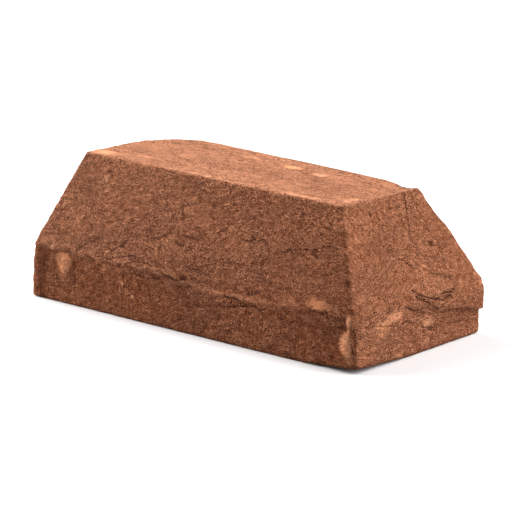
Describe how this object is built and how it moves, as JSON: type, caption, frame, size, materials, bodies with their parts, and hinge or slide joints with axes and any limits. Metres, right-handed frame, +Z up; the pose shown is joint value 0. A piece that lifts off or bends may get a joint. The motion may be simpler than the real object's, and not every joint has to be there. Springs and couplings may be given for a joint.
{
  "type": "clay brick",
  "caption": "Hand-moulded solid clay brick with an upright rectangular plinth and four leaning sides rising to a smaller flat top.",
  "frame": {"origin": "centre of the flat bed that the brick rests on", "axes": "+X along the length, towards the right end in the picture; +Y from the front face to the back; +Z up, out of the small flat top"},
  "size_m": [0.215, 0.1024, 0.076],
  "materials": {
    "fired_clay": "sand-faced, matt, red-brown, with folds and creases from moulding"
  },
  "bodies": {
    "root": {"brick": "fired_clay"}
  },
  "joints": []
}
